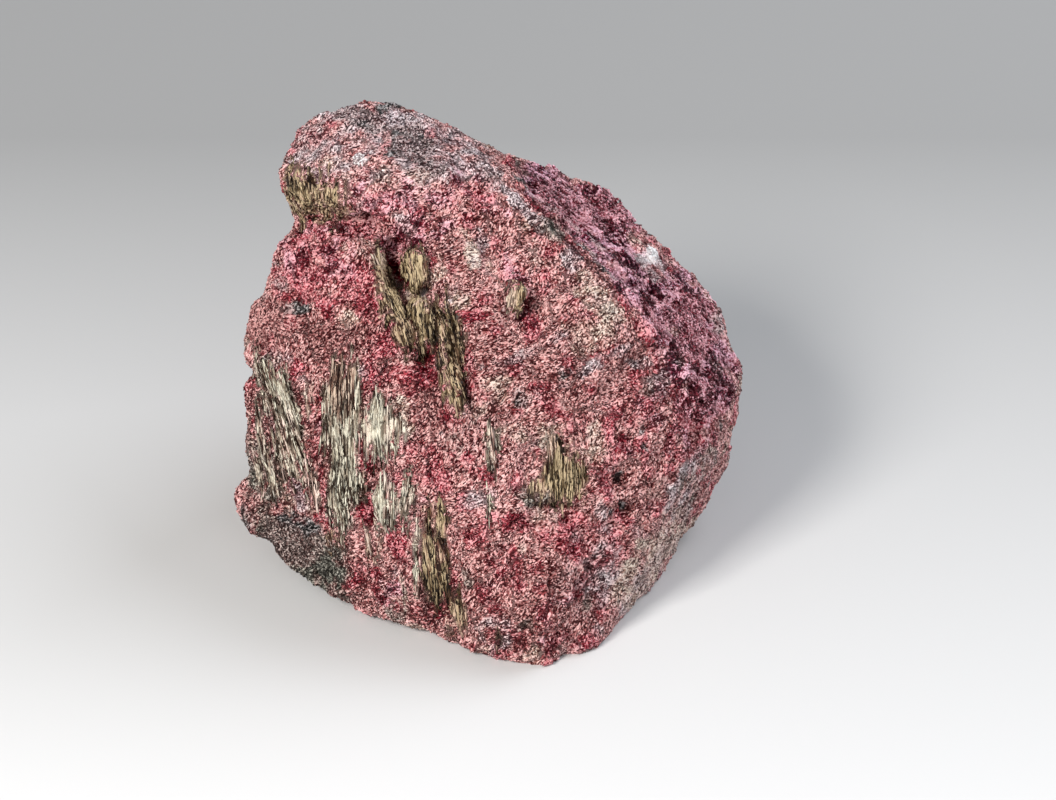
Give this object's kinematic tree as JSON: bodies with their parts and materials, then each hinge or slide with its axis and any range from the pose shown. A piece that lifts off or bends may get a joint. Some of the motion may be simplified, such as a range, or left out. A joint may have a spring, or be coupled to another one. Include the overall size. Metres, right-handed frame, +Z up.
{
  "type": "rough rhodonite",
  "caption": "Rough hand-size lump of massive pink rhodonite: broken knobbly faces, an overhanging head, a fibrous cleft, pale and olive fibre seams and a flat broken base.",
  "frame": {"origin": "centre of the bounding box on the resting plane", "axes": "+X to the right as seen in the picture, +Y away from the viewer, +Z up from the flat base"},
  "size_m": [0.1038, 0.096, 0.0818],
  "materials": {
    "rhodonite": "rough broken"
  },
  "bodies": {
    "root": {"rhodonite_stone": "rhodonite"}
  },
  "joints": []
}
